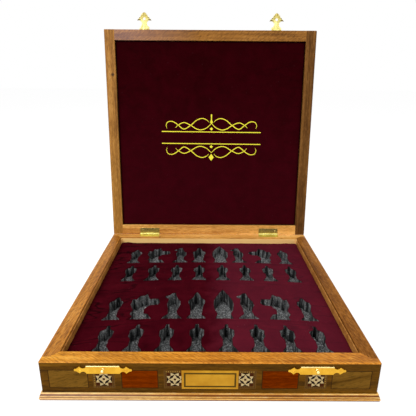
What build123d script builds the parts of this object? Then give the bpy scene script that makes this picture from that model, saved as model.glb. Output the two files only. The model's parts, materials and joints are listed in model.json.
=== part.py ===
from build123d import *
import os
from math import cos, radians, sin

# A square wooden case for chess pieces with a hinged board lid, in millimetres.
# Origin: centre of the case's underside. +X right, +Y back, +Z up. The lid is open at rest.

# --- case -------------------------------------------------------------------------------
case_width = 400.0
case_depth = 400.0
rim_height = 52.5          # table to the top of the walls
wall = 19.0                # thickness of the four walls and width of the lid's rails
corner_lap = 9.5           # how far the side walls stop short of the front and back faces
edge_break = 0.9           # bevel on the outer arrises
bottom_thickness = 6.0
bottom_let = 8.0           # depth of the rebate that takes the bottom panel

# --- walnut facing and its inlay ----------------------------------------------------------
facing = 1.0               # thickness of the facing and of everything inlaid in it
facing_foot = 3.0          # lower edge of the facing, hidden by the moulding
facing_lip = 1.4           # solid wood that shows above the facing
inlay_drop = 24.0          # from the rim down to the centre line of the inlaid band
band = 26.0                # height of the inlaid band
string = 0.9               # width of the dark string round each panel
walnut_panel_width = 47.0
walnut_panel_place = 167.0
mahogany_panel_width = 43.5
mahogany_panel_place = 82.8
tile = 19.0                # side of a star tile
tile_corner = 4.75         # side of the squares in its corners
tile_centre = 2.8          # side of the red square in its middle
tile_waist = 2.4           # where the dark lozenges come nearest to the middle
tile_point = 7.1           # from the middle to the points of the star
outer_tile_place = 125.2
inner_tile_place = 41.6

# --- nameplate ----------------------------------------------------------------------------
nameplate_width = 67.5
nameplate_height = 26.4
nameplate_thickness = 0.9
nameplate_margin = 3.2     # from its edge to the engraved line
nameplate_line = 1.6       # width of the engraved line
nameplate_engraving = 0.25

# --- foot moulding ------------------------------------------------------------------------
moulding_height = 9.3
moulding_foot = 1.5        # flat band at the bottom
moulding_bead = 1.9        # height of each of the two lower beads
moulding_groove = 0.7      # gap between them
moulding_reach = 3.8       # how far the lower bead stands out of the wall
moulding_step = 0.7        # how much less each bead above it stands out
moulding_top_reach = 1.9
bead_sides = 4             # flat sides that make up each of its round forms

# --- insert -------------------------------------------------------------------------------
liner = 1.5                # thin strips inside the walls
liner_gap = 0.6
liner_drop = 2.0           # from the rim down to the top of the strips
insert_gap = 0.2           # between the strips and the foam, and between rows
velvet_drop = 8.0          # from the rim down to the velvet
velvet = 1.0
pocket_depth = 18.0        # from the top of the velvet to the pocket's floor
row_depths = (100.6, 73.4, 108.8)                # back three strips, the front one takes the rest
row_base_margins = (1.8, 5.6, 2.6, 6.0)          # front edge of a strip to its pieces' feet
officer_places = (140.5, 98.0, 54.5, 20.0)       # rook, knight, bishop, and queen or king
pawn_pitch = 40.0
officer_shift = 0.8        # how far each kind of row was cut to the right of the middle
pawn_shift = 2.7

# Each pocket is the outline of a figure lying on its back: foot width, height, and outline points
# as percentages of those two, from the left of the foot, over the head, to the right of the foot.
pawn_size = (25.0, 58.0)
pawn_outline = (
    (-50, 0), (-46, 7), (-25, 22), (-24, 43), (-38, 57), (-38, 78), (-12, 86), (-8, 100),
    (8, 100), (12, 86), (38, 78), (38, 57), (24, 43), (25, 22), (46, 7), (50, 0),
)
rook_size = (26.0, 62.0)
rook_outline = (
    (-50, 0), (-43, 7), (-26, 15), (-25, 39), (-40, 66), (-37, 78), (-18, 84), (-11, 95), (0, 100),
    (11, 95), (18, 84), (37, 78), (40, 66), (25, 39), (26, 15), (43, 7), (50, 0),
)
knight_size = (30.0, 69.0)
knight_outline = (
    (-50, 0), (-43, 9), (-58, 20), (-49, 34), (-69, 56), (-64, 79), (-45, 76), (-32, 91), (-14, 92),
    (4, 100), (20, 78), (66, 78), (77, 62), (66, 53), (26, 50), (5, 36), (7, 20), (29, 18), (50, 0),
)
bishop_size = (30.0, 71.0)
bishop_outline = (
    (-50, 0), (-41, 7), (-21, 17), (-24, 37), (-33, 54), (-26, 75), (-44, 79), (-46, 86), (-27, 90),
    (-14, 98), (3, 100), (18, 75), (33, 65), (35, 51), (19, 27), (26, 14), (44, 5), (50, 0),
)
queen_size = (27.0, 73.0)
queen_outline = (
    (-50, 0), (-46, 6), (-29, 15), (-36, 41), (-46, 58), (-45, 67), (-22, 78), (-11, 95), (0, 100),
    (11, 95), (22, 78), (45, 67), (46, 58), (36, 41), (29, 15), (46, 6), (50, 0),
)
king_size = (27.0, 81.0)
king_outline = (
    (-50, 0), (-43, 6), (-36, 15), (-50, 29), (-55, 43), (-54, 58), (-35, 76), (-13, 92), (0, 100),
    (13, 92), (35, 76), (54, 58), (55, 43), (50, 29), (36, 15), (43, 6), (50, 0),
)

# --- lid ----------------------------------------------------------------------------------
lid_gap = 0.4              # between rim and lid when it is shut
lid_thickness = 18.0
lid_recess = 5.0           # from the rails' mating face to the lining
lid_velvet = 1.0
lining_board = 3.0
lining_gap = 0.2
board_veneer = 1.0
board_let = 8.0            # how far the board is let into the rails
board_frame = 21.0         # plain frame round the squares of the playing surface
board_count = 8            # squares along each side
open_angle = 94.7          # shut to fully open

# --- hinges -------------------------------------------------------------------------------
hinge_inset = 76.0         # from the case's side to the middle of a hinge
hinge_length = 40.0
hinge_reach = 13.0         # from the pin to the leaf's free edge
leaf = 1.5
barrel_radius = 3.0
hinge_pin_radius = 1.0
running_gap = 0.06         # between a pin and the knuckles that turn on it
knuckle_gap = 0.2
knuckles = 3
barrel_seat_gap = 0.4      # between the barrel or the stop and the wood it is let into
heel_radius = 4.6          # outside of the stop behind the barrel
heel_gap = 0.2
stop_gap = 0.4             # degrees left between the two stops

# --- hasps --------------------------------------------------------------------------------
hasp_inset = 75.0          # from the case's side to the middle of a hasp
hasp_pivot_height = 9.5    # above the lid's mating face
hasp_knuckle_radius = 1.6
hasp_pin_radius = 0.7
hasp_sheet = 0.8
hasp_sheet_level = 0.7     # from the pin's axis to the turning leaf's near face
hasp_plate_width = 33.0
hasp_plate_reach = 7.6     # above the pin
hasp_plate_thickness = 1.0
hasp_knuckle_half = 5.0    # half the length of the knuckle that turns
hasp_knuckle_end = 9.3
fan_foot_start = 2.1
fan_foot_end = 4.4
fan_foot_half = 9.3
fan_neck_half = 4.6
fan_neck = 9.6             # from the pin to the narrowest place
fan_shoulder = 15.6        # from the pin to the lower corners of the shell
fan_half = 13.3
fan_length = 30.5
fan_scallops = 4           # scallops on each side of the point
fan_scallop_bulge = 0.7
fan_hole = 18.9            # from the pin to the hole that drops over the knob
fan_hole_radius = 2.5

# --- strike plates --------------------------------------------------------------------------
strike_drop = 10.2         # from the rim to the middle of the plate
strike_half = 19.3
strike_height = 12.0
strike_sheet = 1.2
strike_roll = 0.9          # radius of the rolled upper edge
strike_bevel = 0.8
strike_neck = 23.2         # from the middle to the narrow place beside the body
strike_neck_half = 2.2
strike_diamond = 27.0      # from the middle to the diamond's middle
strike_diamond_half = 4.9
strike_tip_start = 31.2
strike_tip_half = 1.7
strike_tip = 34.0
knob_radius = 2.1
knob_stem_radius = 1.2
knob_crown_radius = 0.6    # flat on top of the ball
knob_sides = 16
knob_reach = 4.7           # from the case front to the ball's middle
knob_root = 8.0            # how deep its stem goes into the wall

# --- places worked out from the sizes above ---------------------------------------------------
half_width = case_width / 2
half_depth = case_depth / 2
facing_top = rim_height - facing_lip
inlay_height = rim_height - inlay_drop
liner_half_width = half_width - wall - liner_gap
liner_half_depth = half_depth - wall - liner_gap
insert_half_width = liner_half_width - liner - insert_gap
insert_half_depth = liner_half_depth - liner - insert_gap
velvet_top = rim_height - velvet_drop
foam_top = velvet_top - velvet
pocket_floor = velvet_top - pocket_depth
lid_bottom = rim_height + lid_gap
lid_top = lid_bottom + lid_thickness
lining_level = lid_bottom + lid_recess
board_bottom = lining_level + lid_velvet + lining_board
board_top = lid_top - board_veneer
hinge_level = rim_height + lid_gap / 2
hinge_axis = Axis((0, half_depth, hinge_level), (1, 0, 0))
strike_level = rim_height - strike_drop
hinge_place = half_width - hinge_inset
hasp_place = half_width - hasp_inset
knob_level = lid_bottom + hasp_pivot_height - fan_hole
hasp_pivot_out = hasp_knuckle_radius
sides = (("left", -1), ("right", 1))


# --- general helpers ------------------------------------------------------------------------
def block(low, high):
    """A box between two corners."""
    size = [b - a for a, b in zip(low, high)]
    return Pos(*low) * Box(*size, align=(Align.MIN, Align.MIN, Align.MIN))


def flat(points):
    """A plane face with straight sides."""
    return make_face(Polyline(*points, close=True))


def rounded(start, middle, end, steps):
    """Points of an arc through three points, after its start, for an outline with few sides."""
    arc = ThreePointArc(start, middle, end)
    return [((arc @ (n / steps)).X, (arc @ (n / steps)).Y) for n in range(1, steps + 1)]


def plan(points, low, high):
    """A plan outline pulled up from one level to another."""
    return Pos(0, 0, low) * extrude(flat(points), high - low)


def single(shape):
    """The one solid in a result."""
    return shape.solids()[0]


def group(shapes):
    """Separate solids that share one node."""
    return Compound([solid for shape in shapes for solid in shape.solids()])


def ring(half_x, half_y, thickness, low, high):
    """A rectangular hoop of the given outer half sizes."""
    outer = block((-half_x, -half_y, low), (half_x, half_y, high))
    inner_x = half_x - thickness
    inner_y = half_y - thickness
    return outer - block((-inner_x, -inner_y, low - 1), (inner_x, inner_y, high + 1))


def facing_front(shape, x, y, z):
    """Turns a piece that was drawn pointing down so that it points back, and places it."""
    return Pos(x, y, z) * Rot(X=90) * shape


# --- case -------------------------------------------------------------------------------------
def eased_block(low, high):
    """The whole case or lid as a block with its outer arrises eased."""
    body = block(low, high)
    upright = body.edges().filter_by(Axis.Z)
    level = body.edges().group_by(Axis.Z)
    return chamfer(upright + level[0] + level[-1], edge_break)


def case_envelope():
    body = block((-half_width, -half_depth, 0), (half_width, half_depth, rim_height))
    return chamfer(body.edges().filter_by(Axis.Z) + body.edges().group_by(Axis.Z)[-1], edge_break)


def facing_space():
    return ring(half_width, half_depth, facing, facing_foot, facing_top)


def bottom_panel():
    x = half_width - wall + bottom_let
    y = half_depth - wall + bottom_let
    return block((-x, -y, 0), (x, y, bottom_thickness))


def end_wall_plan(sign):
    """Front or back wall seen from above: mitred inside, lapped over the side walls outside."""
    face = sign * half_depth
    lap = sign * (half_depth - corner_lap)
    inside = sign * (half_depth - wall)
    right = (
        (half_width, face), (half_width, lap), (half_width - corner_lap, lap),
        (half_width - wall, inside),
    )
    return right + tuple((-x, y) for x, y in reversed(right))


def side_wall_plan(sign):
    """Left or right wall seen from above, ending against the laps of the other two."""
    lap = half_depth - corner_lap
    back = (
        (sign * half_width, lap), (sign * (half_width - corner_lap), lap),
        (sign * (half_width - wall), half_depth - wall),
    )
    return back + tuple((x, -y) for x, y in reversed(back))


def case_wall(outline):
    body = plan(outline, 0, rim_height) & case_envelope()
    return single(body - facing_space() - bottom_panel())


def facing_sheets():
    """The four veneer facings: front and back run full width, the sides fit between them."""
    space = facing_space() & case_envelope()
    front_cut = block((-case_width, -case_depth, 0), (case_width, facing - half_depth, rim_height))
    back_cut = front_cut.mirror(Plane.XZ)
    front = single(space & front_cut)
    back = single(space & back_cut)
    between = space - front_cut - back_cut
    left, right = between.solids().sort_by(Axis.X)
    return front, back, left, right


def inlay(outline):
    """An inlaid piece, flush with the front, from (x, height) points about the band's middle."""
    face = flat([(x, y) for x, y in outline])
    return Pos(0, facing - half_depth, inlay_height) * Rot(X=90) * extrude(face, facing)


def rectangle(x, width, height):
    return (
        (x - width / 2, -height / 2), (x + width / 2, -height / 2),
        (x + width / 2, height / 2), (x - width / 2, height / 2),
    )


panels = {
    "walnut": (walnut_panel_place, walnut_panel_width),
    "mahogany": (mahogany_panel_place, mahogany_panel_width),
}
tile_places = (-outer_tile_place, -inner_tile_place, inner_tile_place, outer_tile_place)


def panel_pieces(kind):
    place, width = panels[kind]
    size = (width - 2 * string, band - 2 * string)
    return [inlay(rectangle(sign * place, *size)) for _, sign in sides]


def string_frames():
    frames = []
    for place, width in panels.values():
        for _, sign in sides:
            hole = inlay(rectangle(sign * place, width - 2 * string, band - 2 * string))
            frames.append(inlay(rectangle(sign * place, width, band)) - hole)
    return frames


def tile_borders():
    return [inlay(rectangle(x, band, band)) - inlay(rectangle(x, tile, tile)) for x in tile_places]


def inlay_openings():
    spaces = [inlay(rectangle(x, band, band)) for x in tile_places]
    for place, width in panels.values():
        spaces += [inlay(rectangle(sign * place, width, band)) for _, sign in sides]
    return spaces


def quarter_turns(outline, x):
    """The same outline in the four quarters of a tile, moved to the tile's place."""
    turns = []
    for quarter in range(4):
        c, s = ((1, 0), (0, 1), (-1, 0), (0, -1))[quarter]
        turns.append([(x + c * a - s * b, s * a + c * b) for a, b in outline])
    return turns


def star_pieces():
    """The bone, ebony and rosewood pieces of the four eight-pointed star tiles."""
    edge = tile / 2
    corner = edge - tile_corner
    middle = tile_centre / 2
    point = (0, tile_point)
    left_ray = ((-corner, corner), point, (-corner, edge))
    right_ray = ((corner, corner), (corner, edge), point)
    kite = (point, (-tile_waist, tile_waist), (-middle, middle), (middle, middle),
            (tile_waist, tile_waist))
    notch = ((-corner, edge), point, (corner, edge))
    lozenge = (point, (-corner, corner), (-tile_point, 0), (-tile_waist, tile_waist))
    corner_square = ((-edge, corner), (-corner, corner), (-corner, edge), (-edge, edge))
    woods = {"bone": (left_ray, right_ray, kite), "ebony": (notch, lozenge),
             "rosewood": (corner_square,)}
    pieces = {wood: [] for wood in woods}
    for x in tile_places:
        for wood, outlines in woods.items():
            for outline in outlines:
                pieces[wood] += [inlay(turn) for turn in quarter_turns(outline, x)]
        pieces["rosewood"].append(inlay(rectangle(x, tile_centre, tile_centre)))
    return pieces


def nameplate():
    """Brass plate with a bevelled edge and an engraved line round it."""
    body = Box(nameplate_width, nameplate_height, nameplate_thickness,
               align=(Align.CENTER, Align.CENTER, Align.MIN))
    body = chamfer(body.edges().group_by(Axis.Z)[-1], nameplate_thickness / 2)
    groove = ring(nameplate_width / 2 - nameplate_margin, nameplate_height / 2 - nameplate_margin,
                  nameplate_line, nameplate_thickness - nameplate_engraving, nameplate_thickness)
    return Pos(0, -half_depth, inlay_height) * Rot(X=90) * (body - groove)


def moulding_profile():
    """Section of the foot moulding as (reach, height): flat foot, two beads, a cove, a top bead."""
    low = moulding_foot
    first = low + moulding_bead
    second = first + moulding_groove
    third = second + moulding_bead
    reach = moulding_reach
    upper = moulding_reach - moulding_step
    root = upper - 2 * moulding_step
    cove_top = (third + moulding_height) / 2
    inner = moulding_top_reach - moulding_step
    path = [(0, moulding_height), (0, 0), (reach - moulding_step, 0), (reach - moulding_step, low)]
    path += rounded(path[-1], (reach, (low + first) / 2), (reach - moulding_step, first), bead_sides)
    path += [(root, first), (root, second), (upper - moulding_step, second)]
    path += rounded(path[-1], (upper, (second + third) / 2), (upper - moulding_step, third), bead_sides)
    path += rounded(path[-1], (inner, third + moulding_step / 2), (inner, cove_top), bead_sides)
    path += rounded(path[-1], (moulding_top_reach, (cove_top + moulding_height) / 2),
                    (inner, moulding_height), bead_sides)
    return flat(path)


def moulding(length, distance):
    """One mitred strip along the front of a case side of that length."""
    long = length + 2 * moulding_reach
    section = Plane(origin=(long / 2, -distance, 0), x_dir=(0, -1, 0), z_dir=(-1, 0, 0))
    strip = extrude(section * moulding_profile(), long)
    out = moulding_reach
    mitres = plan(
        ((-length / 2, -distance), (length / 2, -distance),
         (length / 2 + out, -distance - out), (-length / 2 - out, -distance - out)),
        0, moulding_height)
    return single(strip & mitres)


def mouldings():
    return {
        "moulding_front": moulding(case_width, half_depth),
        "moulding_right": Rot(Z=90) * moulding(case_depth, half_width),
        "moulding_back": Rot(Z=180) * moulding(case_width, half_depth),
        "moulding_left": Rot(Z=270) * moulding(case_depth, half_width),
    }


def liner_strips():
    """Two long strips at the sides and two shorter ones between them, standing on the bottom."""
    top = rim_height - liner_drop
    x, y = liner_half_width, liner_half_depth
    strips = []
    for _, sign in sides:
        outer, inner = sorted((sign * x, sign * (x - liner)))
        strips.append(block((outer, -y, bottom_thickness), (inner, y, top)))
        outer, inner = sorted((sign * y, sign * (y - liner)))
        strips.append(block((liner - x, outer, bottom_thickness), (x - liner, inner, top)))
    return strips


# --- insert ---------------------------------------------------------------------------------
def figure(size, outline, sign=1):
    """Face of one pocket, its foot centred on the origin; sign -1 turns it left for right."""
    width, height = size
    return flat([(sign * width * x / 100, height * y / 100) for x, y in outline])


def pawn_row():
    shape = figure(pawn_size, pawn_outline)
    return [(pawn_shift + pawn_pitch * (n - 3.5), shape) for n in range(8)]


def officer_row():
    """A row from rook to rook: knights face inwards, and both bishops are cut the same way."""
    rook, knight, bishop, royal = officer_places
    row = [
        (-rook, figure(rook_size, rook_outline)), (rook, figure(rook_size, rook_outline)),
        (-knight, figure(knight_size, knight_outline)),
        (knight, figure(knight_size, knight_outline, -1)),
        (-bishop, figure(bishop_size, bishop_outline)),
        (bishop, figure(bishop_size, bishop_outline)),
        (-royal, figure(queen_size, queen_outline)), (royal, figure(king_size, king_outline)),
    ]
    return [(officer_shift + x, shape) for x, shape in row]


def row_fronts():
    """Where the front edge of each strip lies, from the back row to the front row."""
    fronts = []
    front = insert_half_depth
    for depth in row_depths:
        front -= depth
        fronts.append(front)
    return fronts + [-insert_half_depth]


def row_strips():
    """Foam strip and velvet of each row, with the figures cut through both."""
    strips = []
    back = insert_half_depth
    for front, margin, row in zip(row_fronts(), row_base_margins, (officer_row, pawn_row) * 2):
        seam = 0 if front == -insert_half_depth else insert_gap
        sheet = flat((
            (-insert_half_width, front + seam), (insert_half_width, front + seam),
            (insert_half_width, back), (-insert_half_width, back)))
        for x, outline in row():
            sheet -= Pos(x, front + margin) * outline
        foam = Pos(0, 0, pocket_floor) * extrude(sheet, foam_top - pocket_floor)
        cover = Pos(0, 0, foam_top) * extrude(sheet, velvet)
        strips.append((foam, cover))
        back = front
    return strips


def foam_base():
    x, y = insert_half_width, insert_half_depth
    return block((-x, -y, bottom_thickness), (x, y, pocket_floor))


# --- hinges: drawn with the pin on the X axis, lid leaf above, then placed ----------------------
def along_x(face, start, end):
    """Pulls a face drawn as (y, z) from one place on the X axis to another."""
    return extrude(Plane(origin=(start, 0, 0), x_dir=(0, 1, 0), z_dir=(1, 0, 0)) * face, end - start)


def knuckle_spans(first):
    """Every other knuckle of the barrel, from the first or from the second."""
    pitch = hinge_length / knuckles
    half = hinge_length / 2
    starts = [n * pitch - half for n in range(first, knuckles, 2)]
    trim = knuckle_gap / 2
    return [(max(start + trim, -half), min(start + pitch - trim, half)) for start in starts]


def heel_face(inner_radius):
    """Section of the stop behind the barrel, from straight up to where it meets the other leaf's."""
    angle = radians((180 - open_angle - stop_gap) / 2)
    near = inner_radius / cos(angle / 2)
    far = heel_radius
    return flat(((0, near), (0, far), (far * sin(angle), far * cos(angle)),
                 (near * sin(angle), near * cos(angle))))


def hinge_leaf(first):
    """A leaf lying above the pin, with its knuckles and the stop that ends the lid's travel."""
    half = hinge_length / 2
    low = lid_gap / 2
    clear = barrel_radius + knuckle_gap
    plate = flat(((-hinge_reach, low), (-clear, low), (-clear, low + leaf), (-hinge_reach, low + leaf)))
    tongue = flat(((-clear, low), (0, low), (0, low + leaf), (-clear, low + leaf)))
    knuckle = Circle(barrel_radius) + tongue + heel_face(barrel_radius / 2)
    body = along_x(plate, -half, half) + along_x(heel_face(barrel_radius + heel_gap), -half, half)
    for start, end in knuckle_spans(first):
        body += along_x(knuckle, start, end)
    return body


def case_leaf():
    """The case's half of a hinge, below the pin; the pin is fixed in its knuckles."""
    pin = along_x(Circle(hinge_pin_radius), -hinge_length / 2, hinge_length / 2)
    return single(hinge_leaf(0).mirror(Plane.XY) + pin)


def lid_leaf():
    """The lid's half, whose knuckle turns on the pin."""
    bore = along_x(Circle(hinge_pin_radius + running_gap), -hinge_length, hinge_length)
    return single(hinge_leaf(1) - bore)


def at_hinges(shape):
    """The same shape at both hinges, pin on the hinge axis."""
    return [Pos(sign * hinge_place, half_depth, hinge_level) * shape for _, sign in sides]


def hinge_seats():
    """Wood cut away for the leaves and barrels: the lid's side above the pin, the case's below."""
    half = hinge_length / 2
    room = heel_radius + barrel_seat_gap
    seat = block((-half, -hinge_reach, 0), (half, 0, lid_gap / 2 + leaf))
    seat += block((-half, -room, 0), (half, room, room))
    return at_hinges(seat) + at_hinges(seat.mirror(Plane.XY))


# --- strike plates ------------------------------------------------------------------------------
def strike_outline():
    """Body, narrow necks, diamonds and rounded tips."""
    corner = (strike_half, strike_height / 2)
    quarter = [corner]
    quarter += rounded(corner, (strike_neck, strike_neck_half), (strike_diamond, strike_diamond_half), 6)
    quarter.append((strike_tip_start, strike_tip_half))
    tip = rounded(quarter[-1], (strike_tip, 0), (strike_tip_start, -strike_tip_half), 4)
    right = quarter + tip + [(x, -y) for x, y in reversed(quarter[:-1])]
    return flat(right + [(-x, y) for x, y in reversed(right)])


def strike_plate():
    """Drawn lying down: X along the plate, Y up the case front, Z out of it."""
    body = extrude(strike_outline(), strike_sheet)
    edge_line = strike_height / 2 - strike_roll
    roll = Pos(0, edge_line, strike_sheet) * Rot(Y=90) * Cylinder(strike_roll, 2 * strike_half)
    body += roll & block((-strike_tip, 0, 0), (strike_tip, strike_height, strike_sheet * 3))
    low_edge = flat(((-strike_height / 2, strike_sheet), (-strike_height / 2 + strike_bevel, strike_sheet),
                     (-strike_height / 2, strike_sheet - strike_bevel)))
    return body - along_x(low_edge, -strike_half, strike_half)


def knob():
    """Ball knob on its stem, drawn upright on the case front, its root going down into the wall."""
    neck = knob_reach - (knob_radius ** 2 - knob_stem_radius ** 2) ** 0.5
    crown = knob_reach + (knob_radius ** 2 - knob_crown_radius ** 2) ** 0.5
    levels = [(knob_stem_radius, -knob_root), (knob_stem_radius, neck)]
    levels += rounded(levels[-1], (knob_radius, knob_reach), (knob_crown_radius, crown), 5)
    sections = [Pos(0, 0, level) * RegularPolygon(radius, knob_sides) for radius, level in levels]
    return loft(sections, ruled=True)


def knobs():
    return [facing_front(knob(), sign * hasp_place, -half_depth, knob_level) for _, sign in sides]


def strike_plates():
    plates = {}
    for name, sign in sides:
        plate = facing_front(strike_plate(), sign * hasp_place, -half_depth, strike_level)
        for hole in knobs():
            plate -= hole
        plates["strike_plate_" + name] = single(plate)
    return plates


# --- hasps: drawn hanging outwards from a pin on the X axis -------------------------------------
def fan_outline():
    """Foot, neck and scalloped shell, as (across, along) from the pin."""
    shoulder = (fan_half, fan_shoulder)
    right = [(fan_foot_half, fan_foot_start), (fan_foot_half, fan_foot_end)]
    right += rounded(right[-1], (fan_neck_half, fan_neck), shoulder, 8)
    side = Vector(-fan_half, fan_length - fan_shoulder) / fan_scallops
    out = Vector(side.Y, -side.X).normalized() * fan_scallop_bulge
    for n in range(fan_scallops):
        start = Vector(*shoulder) + side * n
        top = start + side / 2 + out
        end = start + side
        right += rounded((start.X, start.Y), (top.X, top.Y), (end.X, end.Y), 3)
    return flat(right + [(-x, y) for x, y in reversed(right[:-1])])


def hasp_fan():
    """The turning leaf: knuckle round the pin, scalloped shell, and the hole for the knob."""
    sheet = fan_outline() - Pos(0, fan_hole) * Circle(fan_hole_radius)
    body = Pos(0, 0, hasp_sheet_level) * Rot(Z=180) * extrude(sheet, hasp_sheet)
    half = hasp_knuckle_half - knuckle_gap / 2
    tongue = flat(((0, hasp_sheet_level), (-fan_foot_start, hasp_sheet_level),
                   (-fan_foot_start, hasp_sheet_level + hasp_sheet), (0, hasp_sheet_level + hasp_sheet)))
    knuckle = Circle(hasp_knuckle_radius) + tongue - Circle(hasp_pin_radius + running_gap)
    return single(body + along_x(knuckle, -half, half))


def hasp_plate():
    """The fixed leaf on the lid's front edge, above the pin that it carries in two knuckles."""
    back = hasp_pivot_out
    front = back - hasp_plate_thickness
    clear = hasp_knuckle_radius + knuckle_gap
    half = hasp_plate_width / 2
    body = block((-half, front, clear), (half, back, hasp_plate_reach))
    corners = body.edges().filter_by(Axis.Y).group_by(Axis.Z)[-1]
    body = chamfer(corners, 2 * hasp_plate_thickness)
    for _, sign in sides:
        start, end = sorted((sign * (hasp_knuckle_half + knuckle_gap / 2), sign * hasp_knuckle_end))
        body += block((start, front, 0), (end, back, clear))
        body += along_x(Circle(hasp_knuckle_radius), start, end)
    return single(body + along_x(Circle(hasp_pin_radius), -hasp_knuckle_end, hasp_knuckle_end))


def at_hasps(shape):
    """The same shape at both hasps on the shut lid, its pin on the X axis."""
    level = lid_bottom + hasp_pivot_height
    return [Pos(sign * hasp_place, -half_depth - hasp_pivot_out, level) * shape for _, sign in sides]


# --- lid: drawn shut --------------------------------------------------------------------------
def lid_envelope():
    return eased_block((-half_width, -half_depth, lid_bottom), (half_width, half_depth, lid_top))


def board_space():
    x = half_width - wall + board_let
    y = half_depth - wall + board_let
    return block((-x, -y, board_bottom), (x, y, lid_top))


def lid_rails():
    """Side rails run full length; the front and back rails fit between them."""
    envelope = lid_envelope() - board_space()
    inner_x = half_width - wall
    inner_y = half_depth - wall
    rails = {}
    for name, sign in (("front", -1), ("back", 1)):
        near, far = sorted((sign * inner_y, sign * case_depth))
        rails["lid_rail_" + name] = envelope & block((-inner_x, near, 0), (inner_x, far, lid_top))
    for name, sign in sides:
        near, far = sorted((sign * inner_x, sign * case_width))
        rails["lid_rail_" + name] = envelope & block((near, -case_depth, 0), (far, case_depth, lid_top))
    for seat in hinge_seats():
        rails["lid_rail_back"] = rails["lid_rail_back"] - seat
    return {name: single(rail) for name, rail in rails.items()}


def board_squares(parity):
    squares = []
    field_x = half_width - wall + board_let - board_frame
    field_y = half_depth - wall + board_let - board_frame
    step_x = 2 * field_x / board_count
    step_y = 2 * field_y / board_count
    for row in range(board_count):
        for column in range(board_count):
            if (row + column) % 2 == parity:
                x = column * step_x - field_x
                y = row * step_y - field_y
                squares.append(block((x, y, board_top), (x + step_x, y + step_y, lid_top)))
    return squares


def board_border():
    x = half_width - wall + board_let
    y = half_depth - wall + board_let
    return ring(x, y, board_frame, board_top, lid_top)


def lining_sheet(low, thickness):
    x = half_width - wall - lining_gap
    y = half_depth - wall - lining_gap
    return block((-x, -y, low), (x, y, low + thickness))


def lid_panel():
    x = half_width - wall + board_let
    y = half_depth - wall + board_let
    return block((-x, -y, board_bottom), (x, y, board_top))


# --- assembly ---------------------------------------------------------------------------------
def case_parts():
    parts = {}
    front = case_wall(end_wall_plan(-1))
    back = case_wall(end_wall_plan(1))
    fronts, backs, lefts, rights = facing_sheets()
    for hole in knobs():
        front -= hole
        fronts -= hole
    for space in inlay_openings():
        fronts -= space
    for seat in hinge_seats():
        back -= seat
        backs -= seat
    parts["wall_front"] = single(front)
    parts["wall_back"] = single(back)
    parts["wall_left"] = case_wall(side_wall_plan(-1))
    parts["wall_right"] = case_wall(side_wall_plan(1))
    parts["facing_front"] = single(fronts)
    parts["facing_back"] = single(backs)
    parts["facing_left"] = lefts
    parts["facing_right"] = rights
    parts["bottom_panel"] = bottom_panel()
    parts["walnut_panels"] = group(panel_pieces("walnut"))
    parts["mahogany_panels"] = group(panel_pieces("mahogany"))
    parts["panel_strings"] = group(string_frames())
    parts["star_borders"] = group(tile_borders())
    for wood, pieces in star_pieces().items():
        parts["star_" + wood] = group(pieces)
    parts["nameplate"] = nameplate()
    parts.update(mouldings())
    parts["liner_strips"] = group(liner_strips())
    parts["foam_base"] = foam_base()
    for number, (foam, cover) in enumerate(row_strips(), 1):
        parts[f"foam_row_{number}"] = foam
        parts[f"velvet_row_{number}"] = cover
    parts.update(strike_plates())
    parts["strike_knobs"] = group(knobs())
    for (name, _), shape in zip(sides, at_hinges(case_leaf())):
        parts["hinge_case_leaf_" + name] = shape
    return parts


def lid_parts():
    parts = lid_rails()
    parts["lid_panel"] = lid_panel()
    parts["board_border"] = board_border()
    parts["board_light_squares"] = group(board_squares(1))
    parts["board_dark_squares"] = group(board_squares(0))
    parts["lid_velvet"] = lining_sheet(lining_level, lid_velvet)
    parts["lid_lining_board"] = lining_sheet(lining_level + lid_velvet, lining_board)
    for (name, _), shape in zip(sides, at_hinges(lid_leaf())):
        parts["hinge_lid_leaf_" + name] = shape
    for (name, _), shape in zip(sides, at_hasps(hasp_plate())):
        parts["hasp_plate_" + name] = shape
    for (name, _), shape in zip(sides, at_hasps(hasp_fan())):
        parts["hasp_fan_" + name] = shape
    return parts


def main():
    os.makedirs("parts", exist_ok=True)
    parts = case_parts()
    for name, shape in lid_parts().items():
        parts[name] = shape.rotate(hinge_axis, -open_angle)
    for name, shape in parts.items():
        export_step(shape, f"parts/{name}.step")
    print(len(parts), "nodes")


main()
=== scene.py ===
import json
import math

import bmesh
import bpy
from mathutils import Matrix, Vector, noise


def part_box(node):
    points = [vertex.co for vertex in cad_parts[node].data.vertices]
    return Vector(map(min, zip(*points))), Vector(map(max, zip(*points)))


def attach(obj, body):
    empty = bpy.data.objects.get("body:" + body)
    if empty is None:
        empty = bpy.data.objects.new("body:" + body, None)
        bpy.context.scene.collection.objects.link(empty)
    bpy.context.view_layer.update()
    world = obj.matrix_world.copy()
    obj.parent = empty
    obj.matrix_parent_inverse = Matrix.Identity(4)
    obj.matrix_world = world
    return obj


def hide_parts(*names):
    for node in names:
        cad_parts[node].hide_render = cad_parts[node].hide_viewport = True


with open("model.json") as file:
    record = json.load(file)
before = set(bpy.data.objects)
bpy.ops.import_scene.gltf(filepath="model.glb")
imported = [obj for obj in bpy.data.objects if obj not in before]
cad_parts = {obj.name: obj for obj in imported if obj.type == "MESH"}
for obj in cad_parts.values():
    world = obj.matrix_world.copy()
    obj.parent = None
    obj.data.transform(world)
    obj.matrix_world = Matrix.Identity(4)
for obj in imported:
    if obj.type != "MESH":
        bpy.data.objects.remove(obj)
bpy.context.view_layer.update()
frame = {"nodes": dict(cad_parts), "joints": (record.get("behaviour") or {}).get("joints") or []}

MM = 0.001
nodes = frame["nodes"]

# --- the case's sizes in metres, from the frame where it has them --------------------------------
joints = {joint["name"]: joint for joint in frame["joints"]}
HINGE = Vector(joints["lid_hinge"]["pos_m"])
OPEN = math.radians(joints["lid_hinge"]["range_deg"][1])


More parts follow.
